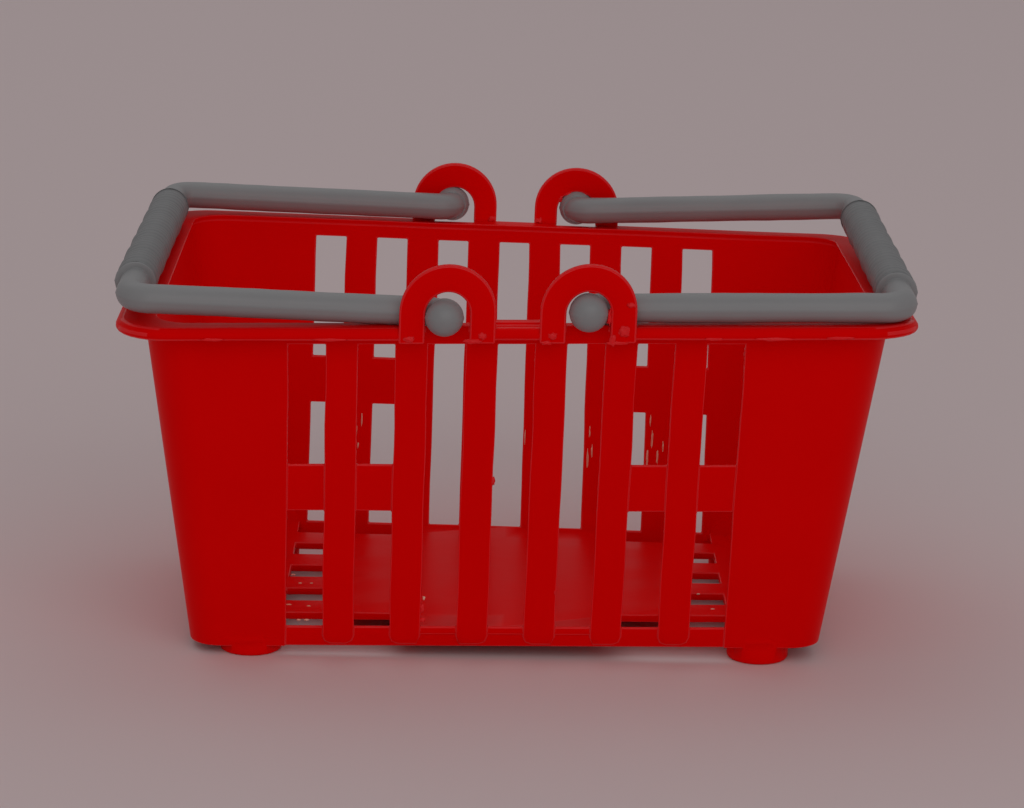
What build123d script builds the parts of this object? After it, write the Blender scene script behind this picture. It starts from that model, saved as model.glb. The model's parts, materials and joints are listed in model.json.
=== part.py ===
from build123d import *
import math
import os

# Miniature shopping basket: one moulded body with a slotted front and back, and two folding handles.
# Units are millimetres. +Z is up, X runs along the basket, and the origin is on the table under its middle.
# The body is a single moulding. It is written here as the zones that a mould maker would name.

# ---- driving dimensions of the body ----
RIM_LENGTH = 120.0
RIM_WIDTH = 84.0
RIM_TOP = 55.8
RIM_CORNER = 9.0
SKIRT_BOTTOM = 54.0
SKIRT_FLARE = 1.0
SKIRT_THICKNESS = 1.0
FLANGE_THICKNESS = 0.9

WALL_BOTTOM = 2.0
WALL_THICKNESS = 1.2
BASE_LENGTH = 98.4
BASE_WIDTH = 55.8
BASE_CORNER = 5.0
TOP_LENGTH = 111.2
TOP_WIDTH = 78.4
TOP_CORNER = 7.0
WALL_TOP = 53.4

FLOOR_TOP = 5.3
FLOOR_THICKNESS = 1.2

# ---- slots in the front and back walls ----
SLOT_COUNT = 7
SLOT_PITCH = 10.4
SLOT_WIDTH = 5.6
SLOT_TOP = 52.8
SLOT_BOTTOM = FLOOR_TOP
BAR_TOP = 32.9
BAR_BOTTOM = 25.2
FULL_HEIGHT_COLUMNS = (-1, 0, 1)
RECESS = 0.35
GRILLE_HALF = SLOT_PITCH * (SLOT_COUNT - 1) / 2 + SLOT_WIDTH / 2

# ---- slots in the floor ----
FLOOR_ROWS = 5
FLOOR_GAP = 6.2
FLOOR_SLOT_OUTER = 35.0
FLOOR_SLOT_INNER = 27.0
EDGE_SLOT_INNER = 17.6

# ---- feet ----
FOOT_RADIUS = 4.8
FOOT_X = 39.6
FOOT_Y = 23.9
FOOT_CHAMFER = 0.4

# ---- ears that carry the handle pins ----
PIVOT_X = 10.4
PIVOT_Z = 58.1
EAR_RADIUS = 7.15
EAR_CENTRE_Z = 58.3
EAR_BOTTOM = 53.6
EAR_THICKNESS = 1.4
EAR_OPENING = 6.6

# ---- handles ----
ROD_RADIUS = 2.2
GRIP_RADIUS = 3.15
GRIP_LENGTH = 56.0
GRIP_CHAMFER = 0.3
PIN_RADIUS = 2.0
PIN_HEAD_RADIUS = 2.9
PIN_HEAD_Y = 41.3
LEG_Y = 38.1
BEND_RADIUS = 3.4
GRIP_OVERHANG = 0.5
GRIP_X = RIM_LENGTH / 2 - GRIP_RADIUS + GRIP_OVERHANG
REST_CLEARANCE = 0.5

# ---- worked out from the above ----
EAR_OUTER_Y = RIM_WIDTH / 2
EAR_INNER_Y = EAR_OUTER_Y - EAR_THICKNESS
REACH = GRIP_X - PIVOT_X
GRIP_REST_Z = RIM_TOP + GRIP_RADIUS + REST_CLEARANCE
REST_TILT = math.degrees(math.atan2(GRIP_REST_Z - PIVOT_Z, REACH))


def rounded_plate(length, width, corner, z):
    """One rounded rectangle, level, at height z."""
    return Pos(0, 0, z) * RectangleRounded(length, width, corner)


def tapered_block(low, high):
    """A solid between two rounded rectangles, each given as (length, width, corner, z)."""
    return loft([rounded_plate(*low), rounded_plate(*high)])


def wall_section(z, inset):
    """The wall's rounded outline at height z, moved inwards by inset."""
    share = (z - WALL_BOTTOM) / (RIM_TOP - WALL_BOTTOM)
    length = BASE_LENGTH + share * (TOP_LENGTH - BASE_LENGTH) - 2 * inset
    width = BASE_WIDTH + share * (TOP_WIDTH - BASE_WIDTH) - 2 * inset
    corner = BASE_CORNER + share * (TOP_CORNER - BASE_CORNER) - inset
    return length, width, corner, z


def wall_block(z_low, z_high, inset=0.0):
    """The basket's drafted shape as a solid block between two heights."""
    return tapered_block(wall_section(z_low, inset), wall_section(z_high, inset))


def box_between(x, y, z):
    """A box from pairs of limits."""
    size = [high - low for low, high in (x, y, z)]
    middle = [(high + low) / 2 for low, high in (x, y, z)]
    return Pos(*middle) * Box(*size)


def column_x(column):
    """Middle of a slot column, counted from the middle column."""
    return column * SLOT_PITCH


def wall_ring():
    """The four walls as one ring, from the bottom edge to the underside of the rim."""
    return wall_block(WALL_BOTTOM, WALL_TOP) - wall_block(WALL_BOTTOM, WALL_TOP, WALL_THICKNESS)


def slot_cutters(side):
    """Boxes that cut the slots of one long wall; side is -1 for the front and 1 for the back."""
    y = (0, side * RIM_WIDTH) if side > 0 else (side * RIM_WIDTH, 0)
    half_count = SLOT_COUNT // 2
    boxes = []
    for column in range(-half_count, half_count + 1):
        x = (column_x(column) - SLOT_WIDTH / 2, column_x(column) + SLOT_WIDTH / 2)
        if column in FULL_HEIGHT_COLUMNS:
            boxes.append(box_between(x, y, (SLOT_BOTTOM, SLOT_TOP)))
        else:
            boxes.append(box_between(x, y, (SLOT_BOTTOM, BAR_BOTTOM)))
            boxes.append(box_between(x, y, (BAR_TOP, SLOT_TOP)))
    return boxes


def recess_cutter(side):
    """Thin skin in front of the sill and the cross bars, so that the upright ribs stand proud."""
    y = (0, side * RIM_WIDTH) if side > 0 else (side * RIM_WIDTH, 0)
    skin = wall_block(WALL_BOTTOM, WALL_TOP) - wall_block(WALL_BOTTOM, WALL_TOP, RECESS)
    half_count = SLOT_COUNT // 2
    columns = []
    for column in range(-half_count, half_count + 1):
        x = (column_x(column) - SLOT_WIDTH / 2, column_x(column) + SLOT_WIDTH / 2)
        columns.append(box_between(x, y, (WALL_BOTTOM, SLOT_TOP)))
    return skin & (columns[0] + columns[1:])


def long_wall(side):
    """Slotted middle of the front or back wall."""
    y = (0, side * RIM_WIDTH) if side > 0 else (side * RIM_WIDTH, 0)
    panel = wall_ring() & box_between((-GRILLE_HALF, GRILLE_HALF), y, (0, RIM_TOP))
    return panel - slot_cutters(side) - recess_cutter(side)


def end_wall(side):
    """Plain end wall with its two rounded corners; side is -1 for the left and 1 for the right."""
    x = (GRILLE_HALF, RIM_LENGTH) if side > 0 else (-RIM_LENGTH, -GRILLE_HALF)
    return wall_ring() & box_between(x, (-RIM_WIDTH, RIM_WIDTH), (0, RIM_TOP))


def floor_plate():
    """Floor set inside the walls, with rows of slots towards each end."""
    z_low = FLOOR_TOP - FLOOR_THICKNESS
    plate = wall_block(z_low, FLOOR_TOP, WALL_THICKNESS)
    inner_width = wall_section(FLOOR_TOP, WALL_THICKNESS)[1]
    bar = (inner_width - FLOOR_ROWS * FLOOR_GAP) / (FLOOR_ROWS - 1)
    cutters = []
    for row in range(FLOOR_ROWS):
        y_low = -inner_width / 2 + row * (FLOOR_GAP + bar)
        at_wall = row in (0, FLOOR_ROWS - 1)
        y_from = y_low - (1 if row == 0 else 0)
        y_to = y_low + FLOOR_GAP + (1 if row == FLOOR_ROWS - 1 else 0)
        x_inner = EDGE_SLOT_INNER if at_wall else FLOOR_SLOT_INNER
        for x in ((x_inner, FLOOR_SLOT_OUTER), (-FLOOR_SLOT_OUTER, -x_inner)):
            cutters.append(box_between(x, (y_from, y_to), (0, FLOOR_TOP + 1)))
    return plate - cutters


def foot(x, y):
    """Round foot under a corner, with its stub up to the floor."""
    disc = Cylinder(FOOT_RADIUS, WALL_BOTTOM, align=(Align.CENTER, Align.CENTER, Align.MIN))
    disc = chamfer(disc.edges().sort_by(Axis.Z)[0], FOOT_CHAMFER)
    z_high = FLOOR_TOP - FLOOR_THICKNESS
    stub = box_between((-FOOT_RADIUS, FOOT_RADIUS), (-FOOT_RADIUS, FOOT_RADIUS), (WALL_BOTTOM, z_high))
    stub = stub & Cylinder(FOOT_RADIUS, 4 * z_high)
    stub = (Pos(x, y, 0) * stub) & wall_block(WALL_BOTTOM, z_high, WALL_THICKNESS)
    return Pos(x, y, 0) * disc + stub


def rim_ring():
    """The whole rim: the top of the walls, the flange and the flared skirt."""
    flare = SKIRT_FLARE
    outer = tapered_block(
        (RIM_LENGTH, RIM_WIDTH, RIM_CORNER, SKIRT_BOTTOM),
        (RIM_LENGTH - 2 * flare, RIM_WIDTH - 2 * flare, RIM_CORNER - flare, RIM_TOP),
    )
    cavity_top = RIM_TOP - FLANGE_THICKNESS
    lean = flare * (cavity_top - SKIRT_BOTTOM) / (RIM_TOP - SKIRT_BOTTOM)
    low_inset = SKIRT_THICKNESS
    top_inset = SKIRT_THICKNESS + lean
    cavity = tapered_block(
        (RIM_LENGTH - 2 * low_inset, RIM_WIDTH - 2 * low_inset, RIM_CORNER - low_inset, SKIRT_BOTTOM),
        (RIM_LENGTH - 2 * top_inset, RIM_WIDTH - 2 * top_inset, RIM_CORNER - top_inset, cavity_top),
    )
    return outer - cavity + wall_block(WALL_TOP, RIM_TOP) - wall_block(WALL_TOP, RIM_TOP, WALL_THICKNESS)


def ear_places():
    """Name, X and side of each ear."""
    places = []
    for row, side in (("front", -1), ("back", 1)):
        for end, sign in (("left", -1), ("right", 1)):
            places.append((f"{row}_{end}", sign * PIVOT_X, side))
    return places


def ear_notches():
    """Room in the rim for the ears, and the openings under the pins."""
    wall_y = wall_section(RIM_TOP, 0)[1] / 2
    boxes = []
    for _, x, side in ear_places():
        plate_x = (x - EAR_RADIUS, x + EAR_RADIUS)
        gap_x = (x - EAR_OPENING / 2, x + EAR_OPENING / 2)
        plate_y = sorted((side * EAR_INNER_Y, side * RIM_WIDTH))
        gap_y = sorted((side * wall_y, side * RIM_WIDTH))
        boxes.append(box_between(plate_x, plate_y, (0, RIM_TOP + 1)))
        boxes.append(box_between(gap_x, gap_y, (0, RIM_TOP + 1)))
    return boxes


def rim_side(ring, side):
    """Front or back length of the rim, between the rounded corners."""
    half = RIM_LENGTH / 2 - RIM_CORNER
    y = sorted((0, side * RIM_WIDTH))
    return (ring & box_between((-half, half), y, (0, RIM_TOP + 1))) - ear_notches()


def rim_end(ring, side):
    """Left or right end of the rim, with its rounded corners."""
    half = RIM_LENGTH / 2 - RIM_CORNER
    x = sorted((side * half, side * RIM_LENGTH))
    return ring & box_between(x, (-RIM_WIDTH, RIM_WIDTH), (0, RIM_TOP + 1))


def ear(x, side):
    """Upright ear: an arch-shaped plate with an arched opening for the handle pin."""
    middle = (EAR_BOTTOM + EAR_CENTRE_Z) / 2
    height = EAR_CENTRE_Z - EAR_BOTTOM
    outline = Pos(0, middle) * Rectangle(2 * EAR_RADIUS, height) + Pos(0, EAR_CENTRE_Z) * Circle(EAR_RADIUS)
    outline -= Pos(0, EAR_BOTTOM - EAR_RADIUS) * Rectangle(4 * EAR_RADIUS, 2 * EAR_RADIUS)
    gap_height = PIVOT_Z - EAR_BOTTOM + 1
    opening = Pos(0, PIVOT_Z - gap_height / 2) * Rectangle(EAR_OPENING, gap_height)
    opening += Pos(0, PIVOT_Z) * Circle(EAR_OPENING / 2)
    plate = extrude(Plane.XZ * (outline - opening), EAR_THICKNESS / 2, both=True)
    return Pos(x, side * (EAR_OUTER_Y + EAR_INNER_Y) / 2, 0) * plate


def handle_arm(end, side):
    """One arm of a handle: pin, leg, bend and the stub of the grip bar; end and side are -1 or 1."""
    leg_start = Vector(0, side * LEG_Y, 0)
    corner = Vector(end * REACH, side * LEG_Y, 0)
    bar_end = Vector(end * REACH, side * GRIP_LENGTH / 2, 0)
    path = FilletPolyline(leg_start, corner, bar_end, radius=BEND_RADIUS)
    rod = sweep(Plane(origin=leg_start, z_dir=(end, 0, 0)) * Circle(ROD_RADIUS), path=path)
    elbow = Pos(leg_start) * Sphere(ROD_RADIUS)
    pin_length = PIN_HEAD_Y - LEG_Y
    pin = Pos(0, side * (LEG_Y + pin_length / 2), 0) * Rot(90, 0, 0) * Cylinder(PIN_RADIUS, pin_length)
    head = Pos(0, side * PIN_HEAD_Y, 0) * Sphere(PIN_HEAD_RADIUS)
    return rod + elbow + pin + head


def grip_bar(end):
    """The thicker middle of the grip."""
    bar = Rot(90, 0, 0) * Cylinder(GRIP_RADIUS, GRIP_LENGTH)
    bar = chamfer(bar.edges().filter_by(GeomType.CIRCLE), GRIP_CHAMFER)
    return Pos(end * REACH, 0, 0) * bar


def place_handle(shape, end):
    """Put a handle part on its pins, lying on the rim."""
    return Pos(end * PIVOT_X, 0, PIVOT_Z) * Rot(0, -end * REST_TILT, 0) * shape


def build_nodes():
    """Every node of the basket by name."""
    ring = rim_ring()
    nodes = {
        "basket_floor": floor_plate(),
        "front_wall": long_wall(-1),
        "back_wall": long_wall(1),
        "left_end_wall": end_wall(-1),
        "right_end_wall": end_wall(1),
        "front_rim": rim_side(ring, -1),
        "back_rim": rim_side(ring, 1),
        "left_rim": rim_end(ring, -1),
        "right_rim": rim_end(ring, 1),
    }
    for name, x, side in ear_places():
        nodes[f"{name}_ear"] = ear(x, side)
        nodes[f"{name}_foot"] = foot(math.copysign(FOOT_X, x), side * FOOT_Y)
    for end, sign in (("left", -1), ("right", 1)):
        nodes[f"{end}_handle_front_arm"] = place_handle(handle_arm(sign, -1), sign)
        nodes[f"{end}_handle_back_arm"] = place_handle(handle_arm(sign, 1), sign)
        nodes[f"{end}_handle_grip"] = place_handle(grip_bar(sign), sign)
    return nodes


os.makedirs("parts", exist_ok=True)
for node_name, shape in build_nodes().items():
    export_step(shape, f"parts/{node_name}.step")
    bounds = shape.bounding_box()
    print(node_name, len(shape.solids()), round(shape.volume, 1), bounds.min, bounds.max)
print("rest tilt of the handles, degrees:", round(REST_TILT, 3))
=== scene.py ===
import bpy
import bmesh
import json
import math
from mathutils import Matrix, Vector, noise


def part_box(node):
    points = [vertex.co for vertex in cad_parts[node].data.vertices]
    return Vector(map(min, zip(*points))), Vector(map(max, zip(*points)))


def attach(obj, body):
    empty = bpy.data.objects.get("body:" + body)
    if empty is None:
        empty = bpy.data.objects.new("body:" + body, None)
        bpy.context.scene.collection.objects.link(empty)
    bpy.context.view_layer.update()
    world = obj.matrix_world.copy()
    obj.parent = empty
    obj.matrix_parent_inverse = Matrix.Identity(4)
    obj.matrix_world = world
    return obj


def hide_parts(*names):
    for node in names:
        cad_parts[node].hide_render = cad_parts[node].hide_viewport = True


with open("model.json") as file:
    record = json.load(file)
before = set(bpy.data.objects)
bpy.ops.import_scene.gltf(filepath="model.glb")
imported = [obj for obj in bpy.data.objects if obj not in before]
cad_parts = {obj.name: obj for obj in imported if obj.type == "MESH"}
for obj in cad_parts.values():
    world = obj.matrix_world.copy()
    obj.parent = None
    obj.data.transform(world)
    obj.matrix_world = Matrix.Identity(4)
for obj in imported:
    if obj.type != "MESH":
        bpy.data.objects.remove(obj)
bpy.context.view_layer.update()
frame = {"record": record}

MM = 0.001

# ---------------------------------------------------------------- sizes read from the frame
floor_low, floor_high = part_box("basket_floor")
front_low, front_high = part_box("front_wall")
end_low, end_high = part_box("left_end_wall")
rim_low, rim_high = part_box("left_rim")
ear_low, ear_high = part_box("front_right_ear")
foot_low, foot_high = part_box("front_right_foot")
grip_low, grip_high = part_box("right_handle_grip")
hinge = {joint["name"]: Vector(joint["pos_m"]) for joint in frame["record"]["behaviour"]["joints"]}

# ---------------------------------------------------------------- sizes of the details
WALL = 1.2 * MM
RECESS = 0.35 * MM
WALL_CORNER_LOW = 5.0 * MM
WALL_CORNER_HIGH = 7.0 * MM
SKIRT = 1.0 * MM
FLARE = 1.0 * MM
SKIRT_BOTTOM = 54.0 * MM
SKIRT_TUCK = 0.3 * MM
FLANGE_UNDER = 54.9 * MM
FLANGE_BULGE = 0.05 * MM
RIM_CORNER = 9.0 * MM
BEAD = 0.7 * MM
RIM_RISE = 0.5 * MM
SLOT_PITCH = 10.4 * MM
SLOT_WIDTH = 5.6 * MM
SLOT_TOP = 52.8 * MM
BACK_SLOT_INSET = 0.26 * MM
COLUMNS = range(-3, 4)
BAR_LOW = 25.2 * MM
BAR_HIGH = 32.9 * MM
RIB_FOOT = 2.5 * MM
RIB_ROUND = 1.3 * MM
FLOOR_ROWS = 5
FLOOR_GAP = 6.2 * MM
FLOOR_LET_IN = 0.7 * MM
FLOOR_SLOT_ENDS = (17.6 * MM, 27.0 * MM, 35.0 * MM)
EAR_OPENING = 6.6 * MM
EAR_ARC_Z = 58.3 * MM
FOOT_ROUND = 0.5 * MM
ROD = 2.2 * MM
LEG_Y = 38.1 * MM
BEND = 3.4 * MM
ELBOW = 2.45 * MM
GROOVE = 1.75 * MM
LOBE = 9.3 * MM
SEAM = 0.08 * MM
PIN = 2.0 * MM
PIN_HEAD = 2.9 * MM
PIN_HEAD_Y = 41.3 * MM

# How the photographed basket is warped
TWIST = 0.5
LEAN = 0.9 * MM
RIM_EXTRA = 0.3 * MM
TOP_EXTRA = 0.35 * MM
LEFT_HANDLE_LEAN = math.radians(1.0)
LEFT_HANDLE_LIFT = -0.1 * MM
RIGHT_HANDLE_LIFT = 0.3 * MM
RIGHT_HANDLE_TWIST = 0.25
NEAR = 0.01 * MM

wall_bottom = front_low.z
sill = floor_high.z
rim_top = rim_high.z
rim_half = Vector((-rim_low.x + RIM_EXTRA, -rim_low.y))
grille_half = front_high.x
base_half = Vector((floor_high.x + WALL, -front_high.y + WALL))
top_half = Vector((-end_low.x + TOP_EXTRA, -front_low.y))
foot_radius = (foot_high.x - foot_low.x) / 2
foot_centre = Vector(((foot_high.x + foot_low.x) / 2, -(foot_high.y + foot_low.y) / 2))
ear_x = (ear_high.x + ear_low.x) / 2
ear_radius = (ear_high.x - ear_low.x) / 2
grip_radius = (grip_high.x - grip_low.x) / 2
grip_half = grip_high.y
reach = (grip_high.x + grip_low.x) / 2 - hinge["right_handle_hinge"].x


def wall_outline(z, inset):
    """Half length, half width and corner radius of the wall at height z, moved inwards by inset."""
    along = (z - sill) / (end_high.z - sill)
    half_x = base_half.x + along * (top_half.x - base_half.x)
    rise = (z - wall_bottom) / (front_high.z - wall_bottom)
    half_y = base_half.y + rise * (top_half.y - base_half.y)
    share = (z - wall_bottom) / (rim_top - wall_bottom)
    corner = WALL_CORNER_LOW + share * (WALL_CORNER_HIGH - WALL_CORNER_LOW)
    return half_x - inset, half_y - inset, corner - inset


def rim_outline(z, inset):
    """The same for the flared skirt, which bulges at the middle of its height."""
    if z > FLANGE_UNDER:
        tuck = FLARE
    else:
        tuck = FLANGE_BULGE if z > SKIRT_BOTTOM else SKIRT_TUCK
    return rim_half.x - tuck - inset, rim_half.y - tuck - inset, RIM_CORNER - tuck - inset


def twist(place):
    """The moulding is warped: it leans to the right, opposite corners of its mouth stand higher, and the feet
    stay level."""
    share = min(1.0, max(0.0, place.z / wall_bottom))
    along = place.x + LEAN * (place.z / rim_top - 0.5)
    return Vector((along, place.y, place.z - TWIST * share * place.x * place.y))


def uneven(place, size, height, seed):
    """A smooth random offset, alike for places closer than size."""
    return height * noise.noise(place / size + Vector((seed, 2.3 * seed, -seed)))


# ---------------------------------------------------------------- meshes from occupied cells
def cells_to_bmesh(counts, filled, point):
    """A closed mesh round the filled cells of a bent grid. counts holds the number of nodes each way, and
    whether the first way closes into a loop."""
    nodes_i, nodes_j, nodes_k, wraps = counts
    bm = bmesh.new()
    made = {}

    def vertex(i, j, k):
        key = (i % nodes_i if wraps else i, j, k)
        if key not in made:
            made[key] = bm.verts.new(point(*key))
        return made[key]

    def is_filled(i, j, k):
        if wraps:
            i %= nodes_i
        elif not 0 <= i < nodes_i - 1:
            return False
        return 0 <= j < nodes_j - 1 and 0 <= k < nodes_k - 1 and filled(i, j, k)

    sides = (
        ((1, 0, 0), ((1, 0, 0), (1, 1, 0), (1, 1, 1), (1, 0, 1))),
        ((-1, 0, 0), ((0, 0, 0), (0, 0, 1), (0, 1, 1), (0, 1, 0))),
        ((0, 1, 0), ((0, 1, 0), (0, 1, 1), (1, 1, 1), (1, 1, 0))),
        ((0, -1, 0), ((0, 0, 0), (1, 0, 0), (1, 0, 1), (0, 0, 1))),
        ((0, 0, 1), ((0, 0, 1), (1, 0, 1), (1, 1, 1), (0, 1, 1))),
        ((0, 0, -1), ((0, 0, 0), (0, 1, 0), (1, 1, 0), (1, 0, 0))),
    )
    for i in range(nodes_i if wraps else nodes_i - 1):
        for j in range(nodes_j - 1):
            for k in range(nodes_k - 1):
                if not is_filled(i, j, k):
                    continue
                for (di, dj, dk), corners in sides:
                    if not is_filled(i + di, j + dj, k + dk):
                        bm.faces.new([vertex(i + a, j + b, k + c) for a, b, c in corners])
    bmesh.ops.recalc_face_normals(bm, faces=bm.faces)
    return bm


def join_rings(bm, rings, steps):
    """Faces between each ring of vertices and the next. A ring of one vertex is a pole."""
    for low, high in zip(rings, rings[1:]):
        for step in range(steps):
            after = (step + 1) % steps
            corners = [low[step % len(low)], low[after % len(low)]]
            corners += [high[after % len(high)], high[step % len(high)]]
            bm.faces.new(list(dict.fromkeys(corners)))


def object_from(bm, name, materials):
    mesh = bpy.data.meshes.new(name)
    bm.to_mesh(mesh)
    bm.free()
    piece = bpy.data.objects.new(name, mesh)
    bpy.context.scene.collection.objects.link(piece)
    for material in materials:
        mesh.materials.append(material)
    mesh.polygons.foreach_set("use_smooth", [True] * len(mesh.polygons))
    return piece


def on_skirt(place):
    """True on the outer side of the flange and its skirt."""
    outside = abs(place.y) > rim_half.y - 1.2 * MM or abs(place.x) > rim_half.x - 1.2 * MM
    return outside and place.z > SKIRT_BOTTOM - 0.1 * MM


def round_edges(piece, width, segments=2, sharp=32, skirt_share=None):
    """Bevels each sharp edge, narrower where a face is too small for the full width. With skirt_share the
    skirt's outer edges keep the full width and all others that share of it."""
    bm = bmesh.new()
    bm.from_mesh(piece.data)
    weight = bm.edges.layers.float.new("bevel_weight_edge")
    for edge in bm.edges:
        limit = sharp
        if skirt_share and all(on_skirt(vertex.co) for vertex in edge.verts):
            limit = 20
        if len(edge.link_faces) != 2 or edge.calc_face_angle(0) < math.radians(limit):
            continue
        room = min(face.calc_area() / edge.calc_length() for face in edge.link_faces)
        share = 1.0
        if skirt_share and not all(on_skirt(vertex.co) for vertex in edge.verts):
            share = skirt_share
        edge[weight] = min(share, 0.42 * room / width)
    bm.to_mesh(piece.data)
    bm.free()
    bevel = piece.modifiers.new("rounded edges", "BEVEL")
    bevel.width = width
    bevel.segments = segments
    bevel.limit_method = "WEIGHT"
    bevel.use_clamp_overlap = False
    bevel.harden_normals = False
    # Bevel faces take material 1, which on the moulding is the paler red of the painted edge highlight.
    bevel.material = 1 if len(piece.data.materials) > 1 else -1


def apply_modifiers(piece):
    graph = bpy.context.evaluated_depsgraph_get()
    mesh = bpy.data.meshes.new_from_object(piece.evaluated_get(graph))
    old = piece.data
    piece.modifiers.clear()
    piece.data = mesh
    mesh.name = old.name
    bpy.data.meshes.remove(old)


# ---------------------------------------------------------------- the basket body
def perimeter_stations():
    """Stations round the basket, as functions of an outline: the straight sides and the four corners."""
    half_slot = SLOT_WIDTH / 2
    fixed = set()
    for column in COLUMNS:
        middle = column * SLOT_PITCH
        for edge, inward in ((middle - half_slot, -1), (middle + half_slot, 1)):
            fixed.add(round(edge, 7))
            if abs(edge) < grille_half - MM:
                fixed.add(round(edge + inward * RIB_ROUND, 7))
    for sign in (-1, 1):
        fixed.add(round(sign * ear_x - EAR_OPENING / 2, 7))
        fixed.add(round(sign * ear_x + EAR_OPENING / 2, 7))
    fixed = sorted(fixed)
    shares = (0.0, 0.34, 0.67)
    steps, rows = 8, 9
    stations = []
    for side in (-1, 1):
        turn_x = -side
        straight = [("panel", -1, share) for share in shares]
        straight += [("line", x, 0) for x in fixed]
        straight += [("panel", 1, share) for share in reversed(shares)]
        if side > 0:
            straight = [(kind, -value, share) for kind, value, share in straight]
        stations += [(side,) + entry for entry in straight]
        first = -90 if side < 0 else 90
        for step in range(1, steps):
            stations.append((side, "corner", (turn_x, side), first + 90 * step / steps))
        for step in range(rows):
            share = -1 + 2 * step / (rows - 1)
            stations.append((side, "end", turn_x, share * turn_x))
        first = 0 if side < 0 else 180
        for step in range(1, steps):
            stations.append((side, "corner", (turn_x, -side), first + 90 * step / steps))
    return stations


def station_point(station, outline):
    half_x, half_y, corner = outline
    side, kind, value, share = station
    if kind == "line":
        return Vector((value, side * half_y))
    if kind == "panel":
        straight = half_x - corner
        return Vector((value * (straight + share * (grille_half - straight)), side * half_y))
    if kind == "end":
        return Vector((value * half_x, share * (half_y - corner)))
    sign_x, sign_y = value
    angle = math.radians(share)
    centre = Vector((sign_x * (half_x - corner), sign_y * (half_y - corner)))
    return centre + corner * Vector((math.cos(angle), math.sin(angle)))


def column_of(x):
    """The slot column that holds x, or None on a rib."""
    column = round(x / SLOT_PITCH)
    inside = abs(x - column * SLOT_PITCH) < SLOT_WIDTH / 2 and column in COLUMNS
    return column if inside else None


def slot_side(x):
    """-1 or 1 where x is the left or right edge of a slot, and otherwise 0."""
    for column in COLUMNS:
        for sign in (-1, 1):
            if abs(column * SLOT_PITCH + sign * SLOT_WIDTH / 2 - x) < NEAR:
                return sign
    return 0


def shift_slot_edge(place, station):
    """Makes the slot edges a little uneven, and the back slots narrower than the front ones."""
    place.x += uneven(Vector((station[2], station[0] * 0.05, place.z)), 9 * MM, 0.16 * MM, 3.1)
    if station[0] > 0:
        place.x -= slot_side(station[2]) * BACK_SLOT_INSET


def build_walls_and_rim():
    """The walls with their slots, ribs and sill, and the flange with its skirt, as one mesh."""
    stations = perimeter_stations()
    levels = [wall_bottom, RIB_FOOT, RIB_FOOT + RIB_ROUND, sill]
    levels += [sill + (BAR_LOW - sill) * step / 6 for step in range(1, 6)]
    levels += [BAR_LOW, (BAR_LOW + BAR_HIGH) / 2, BAR_HIGH]
    levels += [BAR_HIGH + (SLOT_TOP - BAR_HIGH) * step / 6 for step in range(1, 6)]
    levels += [SLOT_TOP, SKIRT_BOTTOM, FLANGE_UNDER, rim_top]
    round_in = 0.29 * RIB_ROUND

    def middle_x(i):
        here = stations[i]
        there = stations[(i + 1) % len(stations)]
        if here[1] == "line" and there[1] == "line":
            return (here[2] + there[2]) / 2
        return None

    def filled(i, j, k):
        x = middle_x(i)
        z = (levels[k] + levels[k + 1]) / 2
        if j <= 1:
            if x is None:
                return True
            column = column_of(x)
            in_slot = column is not None and z < SLOT_TOP
            if in_slot and z > sill and (abs(column) <= 1 or not BAR_LOW < z < BAR_HIGH):
                return False
            return j == 0 or not (z < RIB_FOOT or in_slot)
        if x is not None and abs(abs(x) - ear_x) < EAR_OPENING / 2:
            return False
        return z > (FLANGE_UNDER if j == 2 else SKIRT_BOTTOM)

    def point(i, j, k):
        station = stations[i]
        z = levels[k]
        if j <= 2:
            bead = BEAD if j == 0 and z == rim_top else 0.0
            flat = station_point(station, wall_outline(z, (WALL, RECESS, 0)[j] + bead))
        else:
            flat = station_point(station, rim_outline(z, (SKIRT, 0)[j - 3]))
        place = Vector((flat.x, flat.y, z))
        if station[1] == "line" and j <= 2 and abs(station[2]) < grille_half:
            shift_slot_edge(place, station)
        if j <= 1 and z == rim_top and station[0] < 0 and abs(place.x) < ear_x - ear_radius + MM:
            place.z += RIM_RISE
        if k == 1 and j in (1, 2) and station[1] == "line" and abs(station[2]) < grille_half - MM:
            side = slot_side(station[2])
            place.x += side * round_in
            place.z += abs(side) * round_in
        return place

    return cells_to_bmesh((len(stations), 5, len(levels), True), filled, point)


def build_floor():
    """The floor plate with its rows of slots, let into the walls by half their thickness."""
    half_x, half_y, corner = wall_outline(sill, WALL - FLOOR_LET_IN)
    inner_half = half_y - FLOOR_LET_IN
    bar = (2 * inner_half - FLOOR_ROWS * FLOOR_GAP) / (FLOOR_ROWS - 1)
    lows = [-inner_half + row * (FLOOR_GAP + bar) for row in range(FLOOR_ROWS)]
    rows = [-half_y]
    for low in lows:
        rows += [low, low + FLOOR_GAP]
    rows.append(half_y)
    inner, middle, outer = FLOOR_SLOT_ENDS
    columns = [-outer, -middle, -inner, 0, inner, middle, outer]
    arc = [half_x - corner + corner * math.sin(math.radians(angle)) for angle in (0, 22.5, 45, 67.5, 90)]
    columns = [-x for x in reversed(arc)] + columns + arc
    levels = [floor_low.z, floor_high.z]

    def filled(i, j, k):
        x = abs((columns[i] + columns[i + 1]) / 2)
        y = (rows[j] + rows[j + 1]) / 2
        at_edge = abs(y) > inner_half
        row = next((index for index, low in enumerate(lows) if low < y < low + FLOOR_GAP), None)
        if row is None and not at_edge:
            return True
        start = inner if at_edge or row in (0, FLOOR_ROWS - 1) else middle
        return not start < x < outer

    def point(i, j, k):
        x = columns[i]
        over = max(0.0, abs(x) - (half_x - corner)) / corner
        limit = half_y - corner + corner * math.sqrt(max(0.0, 1 - over * over))
        return Vector((x, rows[j] * limit / half_y, levels[k]))

    return cells_to_bmesh((len(columns), len(rows), 2, False), filled, point)


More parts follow.
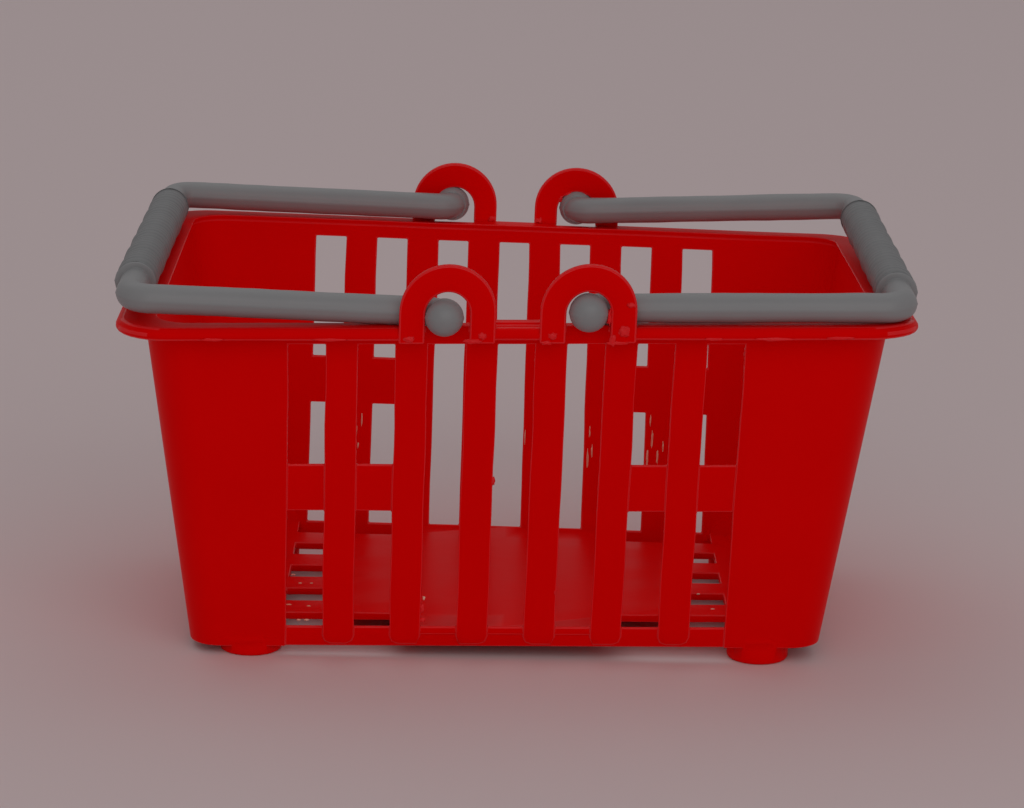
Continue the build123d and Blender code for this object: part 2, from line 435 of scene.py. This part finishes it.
def build_ear(x_middle, side):
    """An arch-shaped ear, as a bent strip between its outer edge and its opening."""
    pin_z = hinge["right_handle_hinge"].z
    bottom = ear_low.z
    steps = 28
    outer, inner = [], []
    for share in (0, 0.33, 0.66):
        outer.append((-ear_radius, bottom + share * (EAR_ARC_Z - bottom)))
        inner.append((-EAR_OPENING / 2, bottom + share * (pin_z - bottom)))
    for step in range(steps + 1):
        angle = math.pi - math.pi * step / steps
        outer.append((ear_radius * math.cos(angle), EAR_ARC_Z + ear_radius * math.sin(angle)))
        inner.append((EAR_OPENING / 2 * math.cos(angle), pin_z + EAR_OPENING / 2 * math.sin(angle)))
    outer += [(-x, z) for x, z in reversed(outer[:3])]
    inner += [(-x, z) for x, z in reversed(inner[:3])]
    depths = (ear_low.y, ear_high.y)

    def point(i, j, k):
        share = j / 3
        x = outer[i][0] + share * (inner[i][0] - outer[i][0])
        z = outer[i][1] + share * (inner[i][1] - outer[i][1])
        return Vector((x_middle + x, -side * depths[k], z))

    return cells_to_bmesh((len(outer), 4, 2, False), lambda i, j, k: True, point)


def build_foot(x, y):
    """A round foot with a softened lower edge."""
    top = wall_bottom + 0.6 * MM
    profile = [(0, 0), (foot_radius - 0.9 * MM, 0)]
    for angle in (0, 30, 60, 90):
        turn = math.radians(angle)
        across = foot_radius - FOOT_ROUND + FOOT_ROUND * math.sin(turn)
        profile.append((across, FOOT_ROUND - FOOT_ROUND * math.cos(turn)))
    profile += [(foot_radius, top), (0, top)]
    bm = bmesh.new()
    steps = 40
    rings = []
    for radius, z in profile:
        if radius == 0:
            rings.append([bm.verts.new((x, y, z))])
            continue
        ring = []
        for step in range(steps):
            turn = 2 * math.pi * step / steps
            ring.append(bm.verts.new((x + radius * math.cos(turn), y + radius * math.sin(turn), z)))
        rings.append(ring)
    join_rings(bm, rings, steps)
    bmesh.ops.recalc_face_normals(bm, faces=bm.faces)
    return bm


# ---------------------------------------------------------------- materials
def principled(name):
    material = bpy.data.materials.new(name)
    material.use_nodes = True
    nodes = material.node_tree.nodes
    return material, nodes, material.node_tree.links, nodes["Principled BSDF"]


def plastic(name, colour, mottled, roughness, bump_scale, bump_height, specular, tint=None):
    """Moulded plastic: slight mottling in colour and gloss, and a fine uneven surface."""
    material, nodes, links, shader = principled(name)
    place = nodes.new("ShaderNodeTexCoord")
    mottle = nodes.new("ShaderNodeTexNoise")
    mottle.inputs["Scale"].default_value = 90
    mottle.inputs["Detail"].default_value = 5
    links.new(place.outputs["Object"], mottle.inputs["Vector"])
    mix = nodes.new("ShaderNodeMix")
    mix.data_type = "RGBA"
    mix.inputs["A"].default_value = (*colour, 1)
    mix.inputs["B"].default_value = (*mottled, 1)
    links.new(mottle.outputs["Fac"], mix.inputs["Factor"])
    links.new(mix.outputs["Result"], shader.inputs["Base Color"])
    gloss = nodes.new("ShaderNodeMapRange")
    gloss.inputs["To Min"].default_value = roughness[0]
    gloss.inputs["To Max"].default_value = roughness[1]
    links.new(mottle.outputs["Fac"], gloss.inputs["Value"])
    links.new(gloss.outputs["Result"], shader.inputs["Roughness"])
    grain = nodes.new("ShaderNodeTexNoise")
    grain.inputs["Scale"].default_value = bump_scale
    grain.inputs["Detail"].default_value = 3
    links.new(place.outputs["Object"], grain.inputs["Vector"])
    bump = nodes.new("ShaderNodeBump")
    bump.inputs["Strength"].default_value = 1.0
    bump.inputs["Distance"].default_value = bump_height
    links.new(grain.outputs["Fac"], bump.inputs["Height"])
    links.new(bump.outputs["Normal"], shader.inputs["Normal"])
    shader.inputs["Specular IOR Level"].default_value = specular
    if tint:
        shader.inputs["Specular Tint"].default_value = (*tint, 1)
    return material


red = plastic(
    "red plastic", (0.88, 0.0006, 0.001), (0.94, 0.001, 0.0015), (0.3, 0.45), 350, 0.00003, 0.035, (1, 0.1, 0.1)
)
# Paler, pinker red for the bevelled edges and the flash: a painted highlight along the edges; its lower
# roughness and stronger specular are real gloss.
red_edge_highlight = plastic(
    "red plastic edge, painted highlight", (0.90, 0.006, 0.008), (0.95, 0.03, 0.035), (0.16, 0.32), 500, 0.00005, 0.15
)
# A darker copy of the handle grey for the grips: painted shade on the handle's one plastic.
grip_grey_painted_shade = plastic("grip plastic, painted shade", (0.20, 0.21, 0.215), (0.24, 0.25, 0.255), (0.4, 0.5), 300, 0.00004, 0.3)
# Pale yellow-white for the slivers of painted glint.
painted_glint = plastic("painted glint plastic", (1.0, 0.45, 0.22), (1.0, 0.9, 0.8), (0.1, 0.2), 900, 0.00005, 0.6)
grey = plastic("grey plastic", (0.27, 0.28, 0.285), (0.31, 0.32, 0.325), (0.34, 0.46), 300, 0.00003, 0.4)


# ---------------------------------------------------------------- assemble the basket body
def weld(parts, name):
    """Joins closed meshes into one skin with exact unions."""
    base = parts[0]
    for other in parts[1:]:
        union = base.modifiers.new("union", "BOOLEAN")
        union.operation = "UNION"
        union.solver = "EXACT"
        union.object = other
    apply_modifiers(base)
    for other in parts[1:]:
        bpy.data.objects.remove(other)
    base.name = name
    return base


def build_flash(place, size, seed):
    """A small flat crumb, for flash left by the mould and for the pale slivers of painted glint."""
    bm = bmesh.new()
    bmesh.ops.create_icosphere(bm, subdivisions=3, radius=1.0)
    for vertex in bm.verts:
        away = vertex.co.copy()
        swell = 1.0 + 0.55 * noise.noise(away * 1.7 + Vector((seed, 0, seed)))
        vertex.co = Vector(place) + Vector((away.x * size[0], away.y * size[1], away.z * size[2])) * swell
    return bm


FLASH = (
    ((-15.9, -42.0, 54.4), (0.9, 0.25, 0.4)), ((-6.6, -42.0, 54.0), (1.4, 0.28, 0.35)),
    ((-5.2, -42.0, 54.8), (0.6, 0.25, 0.6)), ((5.2, -42.0, 54.8), (0.7, 0.3, 0.5)),
    ((4.3, -42.0, 53.8), (0.9, 0.25, 0.3)), ((15.6, -42.0, 55.4), (0.8, 0.3, 0.9)),
    ((14.1, -42.0, 54.2), (0.5, 0.25, 0.9)), ((16.6, -42.0, 59.4), (0.8, 0.25, 0.35)),
    ((14.6, -42.0, 53.7), (1.6, 0.25, 0.25)), ((13.4, -41.6, 57.6), (0.35, 0.5, 1.3)),
    ((9.4, 41.0, 60.9), (1.3, 0.5, 0.45)), ((7.6, 41.0, 60.1), (0.5, 0.5, 0.6)),
    ((11.4, 41.0, 61.0), (0.7, 0.5, 0.35)), ((4.1, 40.6, 56.2), (0.6, 0.6, 0.5)),
    ((-4.1, 40.6, 56.2), (0.6, 0.6, 0.5)), ((27.6, -36.6, 50.4), (0.35, 0.4, 0.6)),
    ((34.2, -36.9, 51.0), (0.3, 0.4, 1.2)), ((-27.4, -36.8, 49.0), (0.25, 0.3, 0.9)),
    ((-36.0, -39.9, 54.1), (1.5, 0.2, 0.2)), ((38.0, -41.9, 54.3), (2.6, 0.22, 0.25)),
    ((47.5, -41.9, 54.4), (2.0, 0.22, 0.22)), ((29.0, -41.9, 54.3), (1.2, 0.2, 0.2)),
    ((-28.0, -41.9, 54.3), (2.2, 0.2, 0.2)), ((-45.0, -41.9, 54.3), (1.8, 0.2, 0.22)),
    ((-2.75, -33.6, 30.3), (0.3, 0.4, 0.6)), ((7.4, -29.7, 12.0), (0.3, 0.3, 0.8)),
    ((-13.0, -28.9, 8.6), (0.3, 0.3, 0.7)), ((-12.9, -28.6, 6.6), (0.4, 0.3, 0.35)),
)
# Pale slivers of painted glint: bright specks set where light glints on the ribs and on the floor's slot edges.
PAINTED_GLINT_SLIVERS = (
    ((-25.9, 30.54, 20.4), (0.14, 0.3, 1.5)), ((-25.0, 30.96, 22.4), (0.12, 0.3, 1.2)),
    ((-25.5, 30.08, 18.2), (0.12, 0.3, 0.5)), ((13.7, 29.78, 16.8), (0.15, 0.3, 2.0)),
    ((14.4, 30.12, 18.4), (0.14, 0.3, 1.1)), ((13.9, 30.79, 21.6), (0.12, 0.3, 0.9)),
    ((23.9, 29.91, 17.4), (0.2, 0.3, 1.6)), ((24.6, 30.58, 20.6), (0.16, 0.3, 1.8)),
    ((25.6, 29.99, 17.8), (0.18, 0.3, 1.3)), ((26.5, 30.37, 19.6), (0.14, 0.3, 1.0)),
    ((24.2, 31.25, 23.8), (0.12, 0.3, 1.0)), ((2.9, 30.54, 20.4), (0.1, 0.3, 1.4)),
    ((-34.4, -2.4, 5.3), (0.4, 0.2, 0.14)), ((-33.0, -6.8, 5.3), (0.3, 0.2, 0.12)),
    ((-31.2, -6.8, 5.3), (0.22, 0.2, 0.12)), ((-34.2, -17.6, 5.3), (0.45, 0.2, 0.12)),
    ((-31.0, -18.2, 5.3), (0.3, 0.2, 0.12)), ((-32.2, -25.0, 5.3), (0.3, 0.2, 0.12)),
    ((-31.0, -25.0, 5.3), (0.4, 0.2, 0.12)), ((31.0, -9.4, 5.3), (0.3, 0.2, 0.12)),
    ((32.8, -17.8, 5.3), (0.3, 0.2, 0.12)), ((-12.8, -27.6, 9.8), (0.2, 0.25, 0.3)),
)


def add_crumbs(whole):
    """Sets the crumbs on the moulding: the mould's flash with material 1, and the pale slivers of painted glint
    with material 2.
    """
    bm = bmesh.new()
    bm.from_mesh(whole.data)
    crumbs = [entry + (1,) for entry in FLASH] + [entry + (2,) for entry in PAINTED_GLINT_SLIVERS]
    for seed, (place, size, colour) in enumerate(crumbs):
        crumb = build_flash([value * MM for value in place], [value * MM for value in size], seed)
        mesh = bpy.data.meshes.new("flash")
        for face in crumb.faces:
            face.material_index = colour
            face.smooth = True
        crumb.to_mesh(mesh)
        crumb.free()
        bm.from_mesh(mesh)
        bpy.data.meshes.remove(mesh)
    bm.to_mesh(whole.data)
    bm.free()


def warp(whole):
    """Twists the moulding, and makes all but its feet slightly uneven."""
    for vertex in whole.data.vertices:
        vertex.co = twist(vertex.co)
        if vertex.co.z > 3 * MM:
            vertex.co.y += uneven(vertex.co, 22 * MM, 0.14 * MM, 5.7)
            vertex.co.z += uneven(vertex.co, 18 * MM, 0.10 * MM, 8.2)


def make_walls():
    walls = object_from(build_walls_and_rim(), "walls", (red, red_edge_highlight))
    round_edges(walls, 0.45 * MM, 3, 32, 0.45)
    apply_modifiers(walls)
    # The skirt's outer faces go back to plain red, without the painted edge highlight.
    for face in walls.data.polygons:
        if on_skirt(face.center) and face.center.z > SKIRT_BOTTOM + 0.35 * MM:
            face.material_index = 0
    return walls


def make_basket():
    base = object_from(build_floor(), "floor", (red, red_edge_highlight))
    round_edges(base, 0.16 * MM)
    apply_modifiers(base)
    parts = [make_walls(), base]
    for sign in (-1, 1):
        for side in (-1, 1):
            ear = object_from(build_ear(sign * ear_x, side), "ear", (red, red_edge_highlight))
            round_edges(ear, 0.3 * MM, 3)
            apply_modifiers(ear)
            foot = build_foot(sign * foot_centre.x, side * foot_centre.y)
            parts += [ear, object_from(foot, "foot", (red, red_edge_highlight))]
    whole = weld(parts, "basket_moulding")
    # Material 2: the pale colour of the painted glints.
    whole.data.materials.append(painted_glint)
    add_crumbs(whole)
    warp(whole)
    return whole


basket = make_basket()
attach(basket, "basket")
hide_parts(*[name for name in frame["record"]["behaviour"]["bodies"]["basket"]])


# ---------------------------------------------------------------- the handles
def arc_points(centre, radius, start, stop, steps):
    points = []
    for step in range(steps + 1):
        angle = math.radians(start + (stop - start) * step / steps)
        points.append(Vector((centre[0] + radius * math.cos(angle), centre[1] + radius * math.sin(angle), 0)))
    return points


def grip_path():
    """Half of the grip with its rings and lobes, and the shoulder down to the rod."""
    path = []
    y = 0.0
    while y < grip_half - GROOVE:
        for share, depth in ((0, 0.14), (0.1, 0.09), (0.2, 0.02), (0.5, 0), (0.8, 0.02), (0.9, 0.09)):
            along = y + share * GROOVE
            lobe = 0.09 * (1 + math.cos(2 * math.pi * along / LOBE))
            path.append((Vector((reach, along, 0)), grip_radius - (depth + lobe) * MM))
        y += GROOVE
    for back, depth in ((0.5, 0.0), (0.22, 0.03), (0.06, 0.12), (0.0, 0.32)):
        path.append((Vector((reach, grip_half - back * MM, 0)), grip_radius - depth * MM))
    for back, extra in ((0.0, 0.12), (-0.12, 0.01)):
        path.append((Vector((reach, grip_half - back * MM, 0)), ROD + extra * MM))
    return path


def handle_path():
    """Half of a handle's centre line and radii, from the grip's middle to the pin head, along +X and +Y."""
    path = grip_path()
    for point in arc_points((reach - BEND, LEG_Y - BEND), BEND, 0, 90, 12):
        path.append((point, ROD))
    steps = 30
    for step in range(1, steps):
        share = step / steps
        path.append((Vector(((reach - BEND) * (1 - share) + ELBOW * share, LEG_Y, 0)), ROD))
    for point in arc_points((ELBOW, LEG_Y + ELBOW), ELBOW, 270, 180, 10):
        path.append((point, ROD))
    for share in (0.15, 0.5):
        path.append((Vector((0, LEG_Y + ELBOW + share * 1.2 * MM, 0)), ROD + share * 2 * (PIN - ROD)))
    for angle in (-48, -36, -22, -8, 8, 22, 36, 50, 62, 74, 84, 90):
        turn = math.radians(angle)
        path.append((Vector((0, PIN_HEAD_Y + PIN_HEAD * math.sin(turn), 0)), PIN_HEAD * math.cos(turn)))
    return path


def direction_along(centres, index):
    """The way that the centre line runs at a point, where two points may lie in one place."""
    last = len(centres) - 1
    along = centres[min(index + 1, last)] - centres[max(index - 1, 0)]
    if along.length < 1e-9:
        along = centres[min(index + 2, last)] - centres[max(index - 2, 0)]
    return along.normalized()


def ring_spots(point, radius, outward, around, sign):
    """One ring of the tube, with the parting line at both sides and a slightly uneven surface."""
    up = Vector((0, 0, 1))
    spots = []
    for step in range(around):
        turn = 2 * math.pi * step / around
        seam = SEAM if step in (0, around // 2) and radius > MM else 0.0
        offset = outward * math.cos(turn) + up * math.sin(turn)
        spot = point + offset * (radius + seam)
        if sign > 0:
            spot.z += RIGHT_HANDLE_TWIST * spot.x * spot.y
        fine = uneven(spot, 3 * MM, 0.05 * MM, 1.3 * sign)
        coarse = uneven(spot, 14 * MM, 0.09 * MM, sign)
        spots.append(spot + offset * (fine + coarse))
    return spots


def handle_place(sign, tilt):
    """From the handle's own frame to its place. The pins sit loosely in the ears, so the left handle leans
    sideways and the right one stands a little high."""
    pivot = hinge["right_handle_hinge" if sign > 0 else "left_handle_hinge"]
    lean, lift = (0.0, RIGHT_HANDLE_LIFT) if sign > 0 else (LEFT_HANDLE_LEAN, LEFT_HANDLE_LIFT)
    seat = pivot + Vector((0, 0, lift))
    if sign > 0:
        seat = twist(seat)
    place = Matrix.Translation(seat) @ Matrix.Rotation(lean, 4, "X") @ Matrix.Rotation(-sign * tilt, 4, "Y")
    if sign < 0:
        place = place @ Matrix.Rotation(math.pi, 4, "Z")
    return place


def build_handle(sign, tilt):
    """A tube of changing radius along the whole handle, as one skin."""
    half = handle_path()
    mirrored = [(Vector((point.x, -point.y, point.z)), radius) for point, radius in reversed(half[1:])]
    path = mirrored + half
    centres = [point for point, _ in path]
    bm = bmesh.new()
    around = 48
    rings = []
    for index, (point, radius) in enumerate(path):
        if radius < 1e-6:
            rings.append([bm.verts.new(point)])
            continue
        outward = direction_along(centres, index).cross(Vector((0, 0, 1)))
        rings.append([bm.verts.new(spot) for spot in ring_spots(point, radius, outward, around, sign)])
    join_rings(bm, rings, around)
    for face in bm.faces:
        # Faces along the grip take material 1, the darker grey of the painted shade.
        face.material_index = 1 if abs(face.calc_center_median().y) < grip_half - 0.2 * MM else 0
    bmesh.ops.recalc_face_normals(bm, faces=bm.faces)
    bmesh.ops.transform(bm, matrix=handle_place(sign, tilt), verts=bm.verts)
    return bm


def make_handle(sign):
    end = "right" if sign > 0 else "left"
    pivot = hinge[f"{end}_handle_hinge"]
    tilt = math.atan2((grip_high.z + grip_low.z) / 2 - pivot.z, reach)
    piece = object_from(build_handle(sign, tilt), f"{end}_handle_moulding", (grey, grip_grey_painted_shade))
    piece.data.set_sharp_from_angle(angle=math.radians(42))
    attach(piece, f"{end}_handle")
    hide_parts(*frame["record"]["behaviour"]["bodies"][f"{end}_handle"])


make_handle(1)
make_handle(-1)


# ---------------------------------------------------------------- floor, light and camera
def make_floor():
    half = 3.0
    bm = bmesh.new()
    bm.faces.new([bm.verts.new((x * half, y * half, 0)) for x, y in ((-1, -1), (1, -1), (1, 1), (-1, 1))])
    material, _, _, shader = principled("paper")
    shader.inputs["Base Color"].default_value = (0.78, 0.67, 0.675, 1)
    shader.inputs["Roughness"].default_value = 0.9
    shader.inputs["Specular IOR Level"].default_value = 0.1
    ground = object_from(bm, "ground", (material,))


def make_light(name, place, target, size, power, colour):
    data = bpy.data.lights.new(name, "AREA")
    data.shape = "RECTANGLE"
    data.size, data.size_y = size
    data.energy = power
    data.color = colour
    lamp = bpy.data.objects.new(name, data)
    lamp.location = place
    lamp.rotation_euler = (Vector(target) - Vector(place)).to_track_quat("-Z", "Y").to_euler()
    bpy.context.scene.collection.objects.link(lamp)


def make_world(colour, strength):
    world = bpy.data.worlds.new("studio")
    world.use_nodes = True
    background = world.node_tree.nodes["Background"]
    background.inputs["Color"].default_value = colour
    background.inputs["Strength"].default_value = strength
    bpy.context.scene.world = world


def make_camera():
    """The photograph's viewing angle, found by fitting a perspective camera to points measured in it."""
    elevation = math.radians(14.11)
    yaw = math.radians(0.50)
    roll = math.radians(1.19)
    distance = 0.5471
    target = Vector((0.00019, 0, 0.03393))
    data = bpy.data.cameras.new("camera")
    data.sensor_width = 36
    data.lens = 119.5
    data.clip_start = 0.01
    camera = bpy.data.objects.new("camera", data)
    away = Vector((0, -math.cos(elevation), math.sin(elevation)))
    away.rotate(Matrix.Rotation(-yaw, 3, "Z"))
    camera.location = target + distance * away
    turn = (-away).to_track_quat("-Z", "Y").to_matrix() @ Matrix.Rotation(roll, 3, "Z")
    camera.rotation_euler = turn.to_euler()
    bpy.context.scene.collection.objects.link(camera)
    bpy.context.scene.camera = camera


make_floor()
make_light("window", (0.2, -1.0, 0.6), (0, 0, 0.03), (1.3, 0.9), 2.35, (1.0, 0.97, 0.96))
make_light("overhead", (-0.2, 0.7, 1.3), (0, 0.25, 0), (1.6, 1.6), 2.2, (1.0, 0.98, 0.97))
make_world((1.0, 0.95, 0.96, 1), 0.30)
bpy.context.scene.view_settings.view_transform = "Standard"
bpy.context.scene.view_settings.look = "None"
make_camera()
